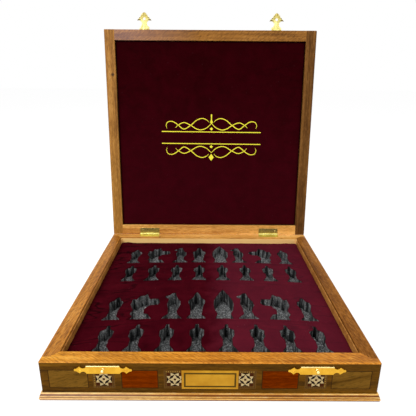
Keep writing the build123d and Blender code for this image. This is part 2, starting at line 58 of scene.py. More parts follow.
def opened(point):
    """A point of the shut lid, in its place with the lid open."""
    return Matrix.Rotation(-OPEN, 3, "X") @ (Vector(point) - HINGE) + HINGE


def shut(point):
    """A point of the open lid, in its place with the lid shut."""
    return Matrix.Rotation(OPEN, 3, "X") @ (Vector(point) - HINGE) + HINGE


def size_of(value):
    """A size as the model was drawn, to a hundredth of a millimetre."""
    return round(value, 5)


def top(node):
    return size_of(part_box(node)[1].z)


def centre_level(node):
    low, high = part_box(node)
    return size_of((low.z + high.z) / 2)


HALF = size_of(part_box("wall_front")[1].x)
RIM = top("wall_front")
LID_GAP = size_of(2 * (HINGE.z - RIM))      # between the walls and the shut lid
POCKET_FLOOR = top("foam_base")
FOAM_TOP = top("foam_row_1")
VELVET_TOP = top("velvet_row_1")
MOULDING_TOP = top("moulding_front")
INLAY_LEVEL = centre_level("nameplate")
KNOB_LEVEL = centre_level("strike_knobs")
# the face of the lid's velvet and the right hasp's pin, both with the lid shut
LINING = size_of(min(shut(vert.co).z for vert in nodes["lid_velvet"].data.vertices))
HASP_X, HASP_Y, HASP_Z = (size_of(value) for value in shut(joints["hasp_right_pivot"]["pos_m"]))
FAN_HOLE = 0.0189               # from the hasp's pin to the hole in its fan
FAN_NEAR = 0.0007               # from the pin to the fan's nearer face
FAN_FAR = 0.0015
LINING_EDGE = 0.1802            # where the lid's velvet meets the rails; the rails' shadow is painted dark along it
SAME = 0.000005                 # vertices nearer than this are one
NUDGE = 0.0001                  # how near a level still counts as on it
OUTER_EDGE = 0.0006             # a row's outer edge stays straight this far in
SIDES = (("left", -1), ("right", 1))


# --- camera --------------------------------------------------------------------------------------
def add_camera():
    """A camera in front of the case and above it, looking down a little."""
    place = Vector((-0.0052, -0.5888, 0.3685))
    pitch, yaw, roll = (math.radians(a) for a in (18.1, 0.2, -0.4))
    cp, sp, cy, sy = math.cos(pitch), math.sin(pitch), math.cos(yaw), math.sin(yaw)
    cr, sr = math.cos(roll), math.sin(roll)
    level = Vector((cy, -sy, 0))
    over = Vector((sp * sy, sp * cy, cp))
    right = cr * level - sr * over
    up = sr * level + cr * over
    forward = Vector((cp * sy, cp * cy, -sp))
    data = bpy.data.cameras.new("camera")
    data.sensor_width = 36.0
    data.sensor_fit = "HORIZONTAL"
    data.lens = 34.87
    camera = bpy.data.objects.new("camera", data)
    camera.matrix_world = Matrix((
        (right.x, up.x, -forward.x, place.x),
        (right.y, up.y, -forward.y, place.y),
        (right.z, up.z, -forward.z, place.z),
        (0, 0, 0, 1),
    ))
    bpy.context.scene.collection.objects.link(camera)
    bpy.context.scene.camera = camera


# --- material helpers ----------------------------------------------------------------------------
def rgb(r, g, b):
    """A colour written as it shows on a screen, 0 to 255, for a shader socket."""
    out = []
    for v in (r, g, b):
        v /= 255
        out.append(v / 12.92 if v <= 0.04045 else ((v + 0.055) / 1.055) ** 2.4)
    return (*out, 1)


class Finish:
    """A material whose nodes are added one after another."""

    def __init__(self, name, **sockets):
        self.material = bpy.data.materials.new(name)
        self.material.use_nodes = True
        self.tree = self.material.node_tree
        self.shader = self.tree.nodes["Principled BSDF"]
        for key, value in sockets.items():
            self.shader.inputs[key.replace("_", " ")].default_value = value

    def node(self, kind, inputs=None, **settings):
        made = self.tree.nodes.new("ShaderNode" + kind)
        for key, value in settings.items():
            setattr(made, key, value)
        for key, value in (inputs or {}).items():
            self.put(made.inputs[key], value)
        return made

    def put(self, socket, value):
        """Links an output to a socket, or sets the socket to a constant."""
        if isinstance(value, bpy.types.NodeSocket):
            self.tree.links.new(value, socket)
        else:
            socket.default_value = value

    def place(self, lid=False):
        """Where a point is, in metres; on the lid, where it is when the lid is shut."""
        spot = self.node("TexCoord").outputs["Object"]
        if not lid:
            return spot
        return self.node("Mapping", {
            "Vector": spot, "Rotation": (OPEN, 0, 0), "Location": shut((0, 0, 0)),
        }).outputs[0]

    def scaled(self, vector, scale, turn=(0, 0, 0)):
        """A place after a scale and a turn in radians, to stretch or slant a pattern."""
        return self.node("Mapping", {"Vector": vector, "Scale": scale, "Rotation": turn}).outputs[0]

    def noise(self, vector, scale, detail=3.0, rough=0.55, distortion=0.0):
        return self.node("TexNoise", {
            "Vector": vector, "Scale": scale, "Detail": detail, "Roughness": rough,
            "Distortion": distortion,
        }).outputs["Fac"]

    def sum(self, a, b, kind="ADD"):
        made = self.node("Math", operation=kind)
        self.put(made.inputs[0], a)
        self.put(made.inputs[1], b)
        return made.outputs[0]

    def range(self, value, low, high, to_low=0.0, to_high=1.0):
        """Maps low to high onto to_low to to_high, held at both ends."""
        return self.node("MapRange", {
            "Value": value, "From Min": low, "From Max": high, "To Min": to_low, "To Max": to_high,
        }).outputs[0]

    def ramp(self, value, *stops):
        made = self.node("ValToRGB", {"Fac": value})
        ramp = made.color_ramp
        while len(ramp.elements) < len(stops):
            ramp.elements.new(0.5)
        for element, (at, _) in zip(ramp.elements, stops):
            element.position = at
        for element, (_, colour) in zip(ramp.elements, stops):
            element.color = colour
        return made.outputs["Color"]

    def mix(self, factor, a, b, kind="MIX"):
        made = self.node("Mix", data_type="RGBA", blend_type=kind)
        self.put(made.inputs[0], factor)
        self.put(made.inputs[6], a)
        self.put(made.inputs[7], b)
        return made.outputs[2]

    def split(self, vector):
        return self.node("SeparateXYZ", {"Vector": vector}).outputs

    def size(self, value):
        return self.sum(value, 0, "ABSOLUTE")

    def blot(self, spot, place, radius, amount):
        """A share that is full at a place and fades out raggedly at a radius from it."""
        ragged = self.node("Mapping", {
            "Vector": self.node("TexNoise", {"Vector": spot, "Scale": 260.0}).outputs["Color"],
            "Location": (-0.5 * radius,) * 3, "Scale": (radius,) * 3,
        }).outputs[0]
        wavy = self.node("VectorMath", operation="ADD")
        self.put(wavy.inputs[0], spot)
        self.put(wavy.inputs[1], ragged)
        far = self.node("VectorMath", operation="DISTANCE")
        self.put(far.inputs[0], wavy.outputs[0])
        self.put(far.inputs[1], place)
        return self.range(far.outputs["Value"], radius, radius * 0.35, 0.0, amount)

    def colour(self, value):
        self.put(self.shader.inputs["Base Color"], value)

    def rough(self, value):
        self.put(self.shader.inputs["Roughness"], value)

    def bump(self, height, distance, strength=1.0):
        made = self.node("Bump", {"Height": height, "Distance": distance, "Strength": strength})
        self.put(self.shader.inputs["Normal"], made.outputs[0])


AXES = {"x": 0, "y": 1, "z": 2}
BEAD_LIGHT_AND_GROOVE_SHADE = (                # from the moulding's foot to its top: painted highlights on the beads, painted shade in the grooves
    (0.0, rgb(110, 78, 46)), (0.13, rgb(150, 112, 74)), (0.20, rgb(255, 255, 250)),
    (0.33, rgb(255, 250, 240)), (0.39, rgb(138, 96, 56)), (0.44, rgb(244, 230, 206)),
    (0.58, rgb(255, 255, 250)), (0.66, rgb(122, 82, 44)), (0.76, rgb(160, 120, 76)),
    (0.85, rgb(255, 246, 230)), (1.0, rgb(255, 255, 250)),
)


def dimmed(colour, share):
    return tuple(c * share for c in colour[:3]) + (1,)


def stretched(along, share):
    """A scale that draws a pattern out along one axis."""
    scale = [1.0, 1.0, 1.0]
    scale[AXES[along]] = share
    return scale


def wood(name, dark, middle, light, along="x", lid=False, seed=0.0, figure=1.0, pores=0.55,
         gloss=0.42, turn=(0, 0, 0), marks=(), shine=0.12, pale=None, grooves=False,
         flecks=0.5, slant=0.0):
    """Lacquered wood with its grain along one axis, growth bands, short flecks and open pores.

    marks are knots and cracks: (place, radius, tint, amount).
    pale is a stretch of the board painted lighter, as painted light falling on it: (axis, where it
    starts, where it is full, tint, amount).
    """
    f = Finish(name, Coat_Weight=shine * 0.5, Coat_Roughness=0.3)
    f.shader.inputs["Specular IOR Level"].default_value = shine
    spot = f.place(lid)
    moved = f.node("Mapping", {"Vector": spot, "Location": (seed, seed * 1.7, seed * 0.6),
                               "Rotation": turn}).outputs[0]
    longer = f.scaled(moved, stretched(along, 0.022))
    wander = f.noise(f.scaled(moved, stretched(along, 0.07)), 55, 3, 0.5, 0.6)
    bands = f.noise(longer, 190, 4, 0.62, 0.3)
    streaks = f.noise(longer, 900, 4, 0.7)
    cloud = f.noise(moved, 14, 2, 0.5)
    value = f.sum(f.sum(f.sum(wander, 0.45 * figure, "MULTIPLY"), f.sum(bands, 0.4, "MULTIPLY")),
                  f.sum(f.sum(streaks, 0.25, "MULTIPLY"), f.sum(cloud, 0.25, "MULTIPLY")))
    value = f.range(value, 0.42 + 0.1 * figure, 0.86 + 0.05 * figure)
    colour = f.ramp(value, (0.0, dark), (0.5, middle), (1.0, light))
    dashes = f.noise(f.scaled(f.scaled(moved, (1, 1, 1), (0, 0, slant)), stretched(along, 0.16)),
                     620, 3, 0.7)
    dark_dash = f.range(dashes, 0.5, 0.66, 0.0, flecks)
    light_dash = f.range(dashes, 0.46, 0.32, 0.0, flecks * 0.6)
    nearly_black = (0.02, 0.01, 0, 1)
    colour = f.mix(dark_dash, colour, tuple(0.5 * (a + b) for a, b in zip(dark, nearly_black)))
    colour = f.mix(light_dash, colour, light)
    pore = f.range(f.noise(longer, 1500, 2, 0.6), 0.62, 0.74)
    colour = f.mix(f.sum(pore, pores, "MULTIPLY"), colour, dimmed(dark, 0.45))
    for place, radius, tint, amount in marks:
        colour = f.mix(f.blot(spot, place, radius, amount), colour, tint)
    # painted highlights on the moulding's beads and painted shade in its grooves, by height
    if grooves:
        level = f.range(f.split(spot)[2], 0.0, MOULDING_TOP)
        colour = f.mix(1.0, colour, f.ramp(level, *BEAD_LIGHT_AND_GROOVE_SHADE), "MULTIPLY")
    # painted light: a stretch of the board made lighter
    if pale:
        axis, start, end, tint, amount = pale
        share = f.range(f.split(spot)[AXES[axis]], start, end, 0.0, amount)
        colour = f.mix(share, colour, tint, "SCREEN")
    f.colour(colour)
    f.rough(f.range(streaks, 0.3, 0.7, gloss - 0.06, gloss + 0.12))
    f.bump(f.sum(f.sum(bands, 0.5, "MULTIPLY"), f.sum(pore, 0.8, "MULTIPLY"), "SUBTRACT"),
           0.00016, 0.6)
    return f.material


def brass(name, tint, deep, rough=0.26, rim=None):
    """Stamped brass: metal with a fine brushed grain, tarnish in patches and small dents.

    rim is the lowest and the highest level of a plate that gets a painted highlight along its upper
    edge and painted shade along its lower edge.
    """
    f = Finish(name, Metallic=1.0)
    spot = f.place()
    cloud = f.noise(spot, 90, 4, 0.6)
    fine = f.noise(f.scaled(spot, (0.2, 1, 1)), 2400, 2, 0.5)
    colour = f.mix(f.range(cloud, 0.35, 0.75), tint, deep)
    if rim:
        # painted highlight along the plate's top edge, painted shade along its bottom edge
        level = f.range(f.split(spot)[2], *rim)
        colour = f.mix(f.range(level, 0.90, 0.97, 0.0, 0.55), colour, rgb(255, 252, 190))
        colour = f.mix(f.range(level, 0.12, 0.03, 0.0, 0.7), colour, rgb(150, 96, 20))
    f.colour(colour)
    f.rough(f.range(f.sum(cloud, fine), 0.7, 1.3, rough - 0.05, rough + 0.12))
    f.bump(f.sum(cloud, f.sum(fine, 0.25, "MULTIPLY")), 0.00025, 0.35)
    return f.material


def shell_brass(name, sign):
    """Stamped brass of the fans: pale ribs round the hole with painted shade between them, and a
    painted dark reflection towards the rim.
    """
    f = Finish(name, Metallic=0.9, Roughness=0.38)
    spot = f.place(lid=True)
    x, y = f.split(spot)[:2]
    across = f.sum(x, -sign * HASP_X)
    along = f.sum(HASP_Y - FAN_HOLE, y, "SUBTRACT")
    angle = f.sum(across, along, "ARCTAN2")
    ribs = f.range(f.sum(f.sum(angle, 16.0, "MULTIPLY"), 0, "COSINE"), -0.5, 0.7)
    far = f.node("Math", operation="SQRT")
    f.put(far.inputs[0], f.sum(f.sum(across, across, "MULTIPLY"), f.sum(along, along, "MULTIPLY")))
    shell = f.range(along, -0.006, -0.003)
    rim = f.range(far.outputs[0], 0.0045, 0.0085)
    # painted shade between the ribs, in the band round the hole
    painted_rib_shade = f.sum(f.sum(1.0, ribs, "SUBTRACT"), f.sum(shell, rim, "MULTIPLY"), "MULTIPLY")
    # painted dark reflection along the fan's outer edge
    edge = f.sum(f.range(far.outputs[0], 0.0075, 0.0105), shell, "MULTIPLY")
    cloud = f.noise(spot, 300, 4, 0.6)
    colour = f.mix(f.range(cloud, 0.3, 0.7), rgb(232, 222, 148), rgb(212, 198, 116))
    colour = f.mix(f.sum(painted_rib_shade, 0.9, "MULTIPLY"), colour, rgb(84, 64, 16))
    colour = f.mix(f.sum(edge, 0.65, "MULTIPLY"), colour, rgb(104, 82, 26))
    f.colour(colour)
    f.bump(f.sum(ribs, f.sum(cloud, 0.2, "MULTIPLY")), 0.0004, 0.7)
    return f.material


def velvet(name, base, shade, glow, sheen, lid=False, fleck=0.5, brushed=None):
    """Short-pile velvet with a little lint, and painted shade in its creases, heavier towards its
    sides.

    brushed is where its pile leans away and a painted sheen makes it lighter: (axis, start, end,
    tint).
    """
    f = Finish(name, Roughness=0.95, Sheen_Weight=sheen, Sheen_Roughness=0.35)
    f.shader.inputs["Sheen Tint"].default_value = glow
    f.shader.inputs["Specular IOR Level"].default_value = 0.02
    spot = f.place(lid)
    nap = f.noise(spot, 38, 5, 0.62, 0.4)
    pile = f.noise(spot, 2100, 2, 0.7)
    colour = f.mix(f.range(nap, 0.34, 0.68), shade, base)
    colour = f.mix(f.range(pile, 0.3, 0.75, 0, 0.5), colour, dimmed(shade, 0.55))
    x, y = f.split(spot)[:2]
    # painted shade in the velvet's folds, darker towards its sides
    folds = f.noise(f.scaled(spot, (0.2, 1.0, 1.0)), 42, 2, 0.5, 0.2)
    painted_crease_shade = f.range(f.size(f.sum(folds, 0.5, "SUBTRACT")), 0.02, 0.004, 0.0, 0.85)
    side = f.range(f.size(x), 0.06, 0.15, 0.08, 0.25 if lid else 1.0)
    colour = f.mix(f.sum(painted_crease_shade, side, "MULTIPLY"), colour, rgb(14, 0, 2))
    # painted sheen: lighter where the pile leans away
    if brushed:
        axis, start, end, tint = brushed
        drift = f.sum(f.split(spot)[AXES[axis]], f.sum(nap, 0.04, "MULTIPLY"))
        colour = f.mix(f.range(drift, start, end, 0.0, 0.55), colour, tint, "ADD")
    # painted shadow: the lining near-black along its edge, under the rails
    if lid:
        out = f.sum(f.size(x), f.size(y), "MAXIMUM")
        colour = f.mix(f.range(out, LINING_EDGE - 0.0017, LINING_EDGE, 0.0, 0.92), colour,
                       rgb(6, 0, 1))
    cells = f.node("TexVoronoi", {"Vector": spot, "Scale": 210.0}, feature="F1")
    lint = f.range(cells.outputs["Distance"], 0.085, 0.05, 0.0, 1.0)
    some = f.range(f.split(cells.outputs["Color"])[0], 0.86, 0.9)
    colour = f.mix(f.sum(f.sum(lint, some, "MULTIPLY"), fleck, "MULTIPLY"), colour,
                   rgb(150, 110, 115))
    f.colour(colour)
    f.bump(f.sum(f.sum(nap, 1.3, "MULTIPLY"), f.sum(pile, 0.22, "MULTIPLY")), 0.0011, 0.5)
    return f.material


def foam_finish(name, shade, light):
    """Charcoal closed-cell foam whose opened cells catch the light, with upright streaks of painted
    shade.
    """
    f = Finish(name, Roughness=0.85)
    f.shader.inputs["Specular IOR Level"].default_value = 0.35
    spot = f.place()
    cells = f.node("TexVoronoi", {"Vector": spot, "Scale": 900.0}, feature="F1")
    torn = f.noise(spot, 420, 4, 0.7, 0.8)
    tone = f.ramp(torn, (0.3, rgb(44, 45, 46)), (0.5, rgb(104, 106, 106)), (0.72, rgb(*light)))
    tone = f.mix(f.range(cells.outputs["Distance"], 0.1, 0.55, 0.55, 0.0), tone, rgb(24, 24, 26))
    # painted shade: near-black upright streaks on the foam
    painted_shade_streaks = f.noise(f.scaled(spot, (1, 0.5, 0.12)), 260, 2, 0.5)
    tone = f.mix(f.range(painted_shade_streaks, 0.56, 0.45, 0.0, shade), tone, rgb(2, 2, 3))
    f.colour(tone)
    f.bump(f.sum(cells.outputs["Distance"], torn), 0.0009, 0.9)
    return f.material


def plain(name, colours, scale, rough, distance=0.0002, lid=False):
    """A fine-grained surface of two mixed tones."""
    f = Finish(name)
    f.shader.inputs["Specular IOR Level"].default_value = 0.04
    tone = f.noise(f.place(lid), scale, 4, 0.6)
    f.colour(f.ramp(tone, (0.3, colours[0]), (0.7, colours[1])))
    f.rough(f.range(tone, 0.3, 0.7, rough, rough + 0.15))
    f.bump(tone, distance, 0.5)
    return f.material


def border_mosaic():
    """Bead mosaic of the star tiles' frames: a ring of small light squares in dark wood.

    The tiles stand at half_gap to each side of two middles, one in each half of the front.
    """
    f = Finish("star_border", Roughness=0.5)
    f.shader.inputs["Specular IOR Level"].default_value = 0.08
    middle, half_gap, pitch = 0.0834, 0.0418, 0.0013
    spot = f.place()
    x, _, z = f.split(spot)
    from_middle = f.sum(f.size(x), middle, "SUBTRACT")
    across = f.sum(f.size(from_middle), half_gap, "SUBTRACT")
    height = f.sum(z, INLAY_LEVEL, "SUBTRACT")
    reach = f.sum(f.size(across), f.size(height), "MAXIMUM")
    checks = []
    for value in (across, height):
        cell = f.sum(f.sum(value, pitch, "DIVIDE"), 0.0, "FLOOR")
        checks.append(f.sum(cell, 2.0, "FLOORED_MODULO"))
    plain_cell = f.sum(checks[0], checks[1], "MAXIMUM")
    bead = f.mix(plain_cell, rgb(156, 120, 44), rgb(74, 46, 6))
    outside = f.sum(reach, 0.0118, "GREATER_THAN")
    inside = f.sum(reach, 0.0103, "LESS_THAN")
    colour = f.mix(f.sum(outside, inside, "MAXIMUM"), bead, rgb(92, 60, 12))
    grain = f.noise(spot, 900, 3)
    f.colour(f.mix(f.range(grain, 0.3, 0.8, 0, 0.35), colour, rgb(50, 28, 4)))
    f.bump(f.sum(plain_cell, grain), 0.0001, 0.4)
    return f.material


def nameplate_finish():
    """Brushed brass with the engraved line filled dark."""
    f = Finish("nameplate_brass", Metallic=1.0)
    low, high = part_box("nameplate")
    half_width, half_height = high.x, (high.z - low.z) / 2
    spot = f.place()
    x, y, z = f.split(spot)
    brushed = f.noise(f.scaled(spot, (0.03, 1, 1)), 2600, 3, 0.6)
    cloud = f.noise(spot, 40, 3)
    tone = f.mix(f.range(cloud, 0.3, 0.7), rgb(202, 152, 46), rgb(172, 120, 28))
    tone = f.mix(f.range(brushed, 0.3, 0.7, 0, 0.25), tone, rgb(150, 100, 20))
    in_x = f.sum(half_width, f.size(x), "SUBTRACT")
    in_z = f.sum(half_height, f.size(f.sum(z, INLAY_LEVEL, "SUBTRACT")), "SUBTRACT")
    inset = f.sum(in_x, in_z, "MINIMUM")
    past_start, before_end = f.sum(inset, 0.0029, "GREATER_THAN"), f.sum(inset, 0.0050, "LESS_THAN")
    line = f.sum(past_start, before_end, "MULTIPLY")
    line = f.sum(line, f.sum(y, -HALF - 0.0001, "LESS_THAN"), "MULTIPLY")
    f.colour(f.mix(line, tone, rgb(92, 70, 24)))
    f.rough(f.range(f.sum(brushed, line), 0.3, 1.6, 0.28, 0.7))
    f.bump(brushed, 0.00008, 0.4)
    return f.material


# --- woods, metals and cloth of the case ---------------------------------------------------------
# the next seven are lit and shaded copies, painted lighter or darker by how light falls: the first
# four of one oak for the case walls, the last three of one wood for the lid's rails
GOLDEN = (rgb(132, 70, 8), rgb(208, 132, 36), rgb(242, 180, 82))
LEFT_WALL_SHADE = (rgb(112, 60, 8), rgb(182, 116, 36), rgb(220, 158, 76))
SHADED = (rgb(92, 48, 8), rgb(150, 94, 34), rgb(188, 132, 68))
BRIGHT = (rgb(156, 92, 26), rgb(228, 168, 84), rgb(252, 208, 132))
RAIL = (rgb(96, 56, 12), rgb(162, 110, 46), rgb(204, 154, 86))
RAIL_RIGHT_SHADED = (rgb(66, 36, 8), rgb(116, 76, 32), rgb(152, 108, 60))
RAIL_FRONT_SHADED = (rgb(84, 48, 10), rgb(142, 92, 32), rgb(184, 132, 66))
WALNUT = (rgb(42, 23, 0), rgb(92, 58, 4), rgb(124, 84, 14))
WALNUT_PANEL = (rgb(34, 20, 0), rgb(88, 58, 10), rgb(112, 78, 22))
MAHOGANY = (rgb(78, 22, 0), rgb(116, 44, 0), rgb(142, 62, 0))
MOULDING = (rgb(206, 148, 70), rgb(255, 214, 128), rgb(255, 246, 196))
LINER = (rgb(122, 72, 24), rgb(184, 124, 56), rgb(212, 156, 88))
MAPLE = (rgb(196, 152, 92), rgb(226, 188, 130), rgb(240, 210, 160))
BOARD_WALNUT = (rgb(54, 30, 12), rgb(94, 58, 28), rgb(124, 82, 44))
PLYWOOD = (rgb(150, 110, 66), rgb(188, 150, 100), rgb(214, 184, 138))


def finish_nodes():
    """Gives every carried-over node its material; returns the three brasses that others share."""
    given = {}
    dark_end = [((-0.1015, 0.1835, 0.0525), 0.003, rgb(60, 32, 10), 0.85)]
    # the wall tops take lit and shaded copies of one oak; the front one is also painted lighter
    # towards the left
    given["wall_front"] = wood("wall_front", *GOLDEN, along="x", seed=0.3, slant=0.5, flecks=0.7,
                               pale=("x", 0.0, -0.16, rgb(84, 58, 0), 1.0))
    given["wall_back"] = wood("wall_back", *BRIGHT, along="x", seed=1.9, marks=dark_end)
    given["wall_left"] = wood("wall_left", *LEFT_WALL_SHADE, along="y", seed=3.1, slant=0.2, flecks=0.7)
    given["wall_right"] = wood("wall_right", *SHADED, along="y", seed=4.7, slant=-0.2, flecks=0.7,
                               shine=0.03)
    for side, along in (("front", "x"), ("back", "x"), ("left", "y"), ("right", "y")):
        name = "facing_" + side
        given[name] = wood(name, *WALNUT, along=along, seed=len(side) * 0.9, shine=0.03)
        glare = ("x", -0.03, -0.15, rgb(84, 80, 84), 0.9) if side == "front" else None
        name = "moulding_" + side
        given[name] = wood(name, *MOULDING, along=along, figure=0.5, seed=len(side) * 0.4,
                           gloss=0.3, grooves=True, pale=glare)
    given["walnut_panels"] = wood("walnut_panel", *WALNUT_PANEL, along="x", seed=7.7, figure=1.9,
                                  shine=0.02, turn=(0, 0.25, 0))
    given["mahogany_panels"] = wood("mahogany", *MAHOGANY, along="x", seed=5.2, figure=0.7,
                                    shine=0.0)
    given["panel_strings"] = plain("string", (rgb(34, 18, 0), rgb(62, 36, 6)), 700, 0.6)
    given["star_borders"] = border_mosaic()
    given["star_bone"] = plain("bone", (rgb(150, 128, 82), rgb(206, 184, 136)), 500, 0.5)
    given["star_ebony"] = plain("ebony", (rgb(8, 4, 2), rgb(30, 18, 10)), 800, 0.5)
    given["star_rosewood"] = plain("rosewood", (rgb(40, 14, 0), rgb(74, 34, 4)), 800, 0.5)
    given["nameplate"] = nameplate_finish()
    given["bottom_panel"] = wood("plywood", *PLYWOOD, along="x", seed=8.8, gloss=0.6)
    # painted light on the back strip of the liner, lighter where it faces the lamps
    given["liner_strips"] = wood("liner", *LINER, along="x", seed=2.2, gloss=0.5,
                                 pale=("y", 0.17, 0.176, rgb(240, 190, 120), 1.0))
    knot = [((-0.1868, -0.1185, 0.0529), 0.0042, rgb(46, 24, 12), 0.9)]
    # the rails take lit and shaded copies of one wood; the left one is painted lighter along part
    # of its length, the front one paler and greyer towards the left
    given["lid_rail_left"] = wood("rail_left", *RAIL, along="y", lid=True, seed=0.8, marks=knot,
                                  pale=("y", -0.02, 0.12, rgb(78, 50, 6), 1.0))
    given["lid_rail_right"] = wood("rail_right", *RAIL_RIGHT_SHADED, along="y", lid=True, seed=2.9,
                                   shine=0.05)
    given["lid_rail_front"] = wood("rail_front", *RAIL_FRONT_SHADED, along="x", lid=True, seed=4.1,
                                   slant=0.7, flecks=0.75,
                                   pale=("x", -0.02, -0.15, rgb(76, 66, 76), 1.0))
    given["lid_rail_back"] = wood("rail_back", *BRIGHT, along="x", lid=True, seed=5.6)
    given["lid_panel"] = wood("lid_core", *PLYWOOD, along="x", lid=True, seed=6.1, gloss=0.6)
    given["lid_lining_board"] = plain("lining_board", (rgb(120, 92, 60), rgb(158, 126, 88)), 400,
                                      0.7, lid=True)
    given["board_light_squares"] = wood("maple", *MAPLE, along="y", lid=True, seed=1.2,
                                        pores=0.2)
    given["board_dark_squares"] = wood("board_walnut", *BOARD_WALNUT, along="y", lid=True,
                                       seed=3.6)
    given["board_border"] = wood("board_frame", *WALNUT, along="x", lid=True, seed=9.4)
    low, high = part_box("strike_plate_left")
    plate = brass("brass", rgb(232, 180, 58), rgb(206, 148, 34), rim=(low.z, high.z))
    hinge = brass("hinge_brass", rgb(218, 206, 124), rgb(176, 154, 72))
    fan = brass("hasp_brass", rgb(206, 190, 112), rgb(176, 156, 78), 0.4)
    for side, sign in SIDES:
        given["strike_plate_" + side] = plate
        given["hinge_case_leaf_" + side] = hinge
        given["hinge_lid_leaf_" + side] = hinge
        given["hasp_plate_" + side] = fan
        given["hasp_fan_" + side] = shell_brass("shell_brass_" + side, sign)
    given["strike_knobs"] = fan
    for name, material in given.items():
        slots = nodes[name].material_slots
        if not slots:
            nodes[name].data.materials.append(material)
        for slot in slots:
            slot.material = material
    return plate, hinge, fan


def soften(starts, width):
    """Rounds the arrises of carried-over nodes, picked by the starts of their names."""
    for name in [name for name in nodes if name.startswith(starts)]:
        weld = nodes[name].modifiers.new("weld", "WELD")
        weld.merge_threshold = SAME
        bevel = nodes[name].modifiers.new("arris", "BEVEL")
        bevel.width = width
        bevel.segments = 2
        bevel.limit_method = "ANGLE"
        bevel.angle_limit = math.radians(35)
        bevel.use_clamp_overlap = True
        normals = nodes[name].modifiers.new("normals", "WEIGHTED_NORMAL")
        normals.keep_sharp = True


def meeting_edges():
    """Copies of the four boards that meet at the hinges, with a sharp arris there.

    The case's arris and the lid's close the joint, so that no light shows through it.
    """
    for node, body, level, new_level in (
        ("wall_back", "case", RIM, RIM + 0.00015),
        ("lid_rail_back", "lid", RIM + LID_GAP, RIM + 0.0002),
        ("lid_rail_left", "lid", RIM + LID_GAP, RIM + 0.0002),
        ("lid_rail_right", "lid", RIM + LID_GAP, RIM + 0.0002),
    ):
        bm = welded(node)
        for vert in bm.verts:
            spot = vert.co if body == "case" else shut(vert.co)
            by_the_joint = spot.y > HALF - 0.001 and abs(spot.z - level) < 0.00095
            if by_the_joint and abs(spot.x) < HALF - 0.0008:
                spot = Vector((spot.x, HALF, new_level))
                vert.co = spot if body == "case" else opened(spot)
        bmesh.ops.remove_doubles(bm, verts=bm.verts, dist=SAME)
        bmesh.ops.dissolve_degenerate(bm, edges=bm.edges, dist=SAME)
        mesh = bpy.data.meshes.new(node + "_board")
        bm.to_mesh(mesh)
        bm.free()
        material = nodes[node].material_slots[0].material
        piece = new_piece(node + "_board", mesh, body, material)
        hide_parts(node)


# --- making meshes -------------------------------------------------------------------------------
def new_piece(name, mesh, body, material):
    """An object that rides on a body and has one material."""
    piece = bpy.data.objects.new(name, mesh)
    bpy.context.scene.collection.objects.link(piece)
    mesh.materials.clear()
    mesh.materials.append(material)
    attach(piece, body)
    return piece


def welded(node):
    """A node's mesh with its faces joined."""
    bm = bmesh.new()
    bm.from_mesh(nodes[node].data)
    bmesh.ops.remove_doubles(bm, verts=bm.verts, dist=SAME)
    return bm


def gridded(node, step, axes):
    """A node's mesh, welded and cut into a fine grid along the given axes."""
    bm = welded(node)
    low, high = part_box(node)
    for axis in axes:
        normal = Vector((0, 0, 0))
        normal[axis] = 1
        count = int((high[axis] - low[axis]) / step)
        for n in range(1, count + 1):
            at = Vector((0, 0, 0))
            at[axis] = low[axis] + (high[axis] - low[axis]) * n / (count + 1)
            geometry = bm.verts[:] + bm.edges[:] + bm.faces[:]
            bmesh.ops.bisect_plane(bm, geom=geometry, dist=0.0000005, plane_co=at, plane_no=normal)
    return bm


def meshed(bm, name, sharp=50):
    """The finished mesh, smooth except across its sharp edges."""
    limit = math.radians(sharp)
    for face in bm.faces:
        face.smooth = True
    for edge in bm.edges:
        edge.smooth = edge.calc_face_angle(0.0) < limit
    mesh = bpy.data.meshes.new(name)
    bm.to_mesh(mesh)
    bm.free()
    mesh.validate()
    return mesh


# --- soft pieces ---------------------------------------------------------------------------------
def dome(x, y):
    """How far the insert stands above the flat velvet of the frame, in metres."""
    x, y = x / MM, y / MM
    side = 1 - min(1, abs(x / 172)) ** 2.5
    back = 1.0 if y < 30 else max(0.0, 1 - ((y - 30) / 148) ** 1.5)
    return (-2.0 + 5.0 * side * back) * MM


def creases(x, y):
    """Wrinkles of the velvet: soft everywhere, gathered into folds near the two ends."""
    x, y = x / MM, y / MM
    ends = max(0.0, min(1.0, (abs(x) - 128) / 34))
    ends *= 0.35 + 0.65 * max(0.0, min(1.0, (y + 20) / 60))
    fold = noise.noise(Vector((x * 0.03, y * 0.11, 1.7)))
    ridge = (1 - abs(fold) * 2.2) ** 3 if abs(fold) < 0.45 else 0
    soft = noise.noise(Vector((x * 0.05, y * 0.06, 7.1)))
    fine = noise.noise(Vector((x * 0.17, y * 0.2, 3.3)))
    return (1.6 * ends * ridge + 0.45 * soft + 0.16 * fine - 0.35) * MM


def wobble(x, y):
    """How unevenly the pockets were cut, the same for velvet and foam."""
    shift = noise.noise_vector(Vector((x / MM * 0.16, y / MM * 0.16, 9.0)))
    return 0.55 * MM * shift.x, 0.55 * MM * shift.y


def seam(border):
    """How far a row sinks where it meets its neighbours or the liner."""
    return 1.1 * MM * math.exp(-border / (1.8 * MM))


def to_border(x, y, low, high):
    """How far a point is from the nearest side of a box."""
    return min(x - low.x, high.x - x, y - low.y, high.y - y)


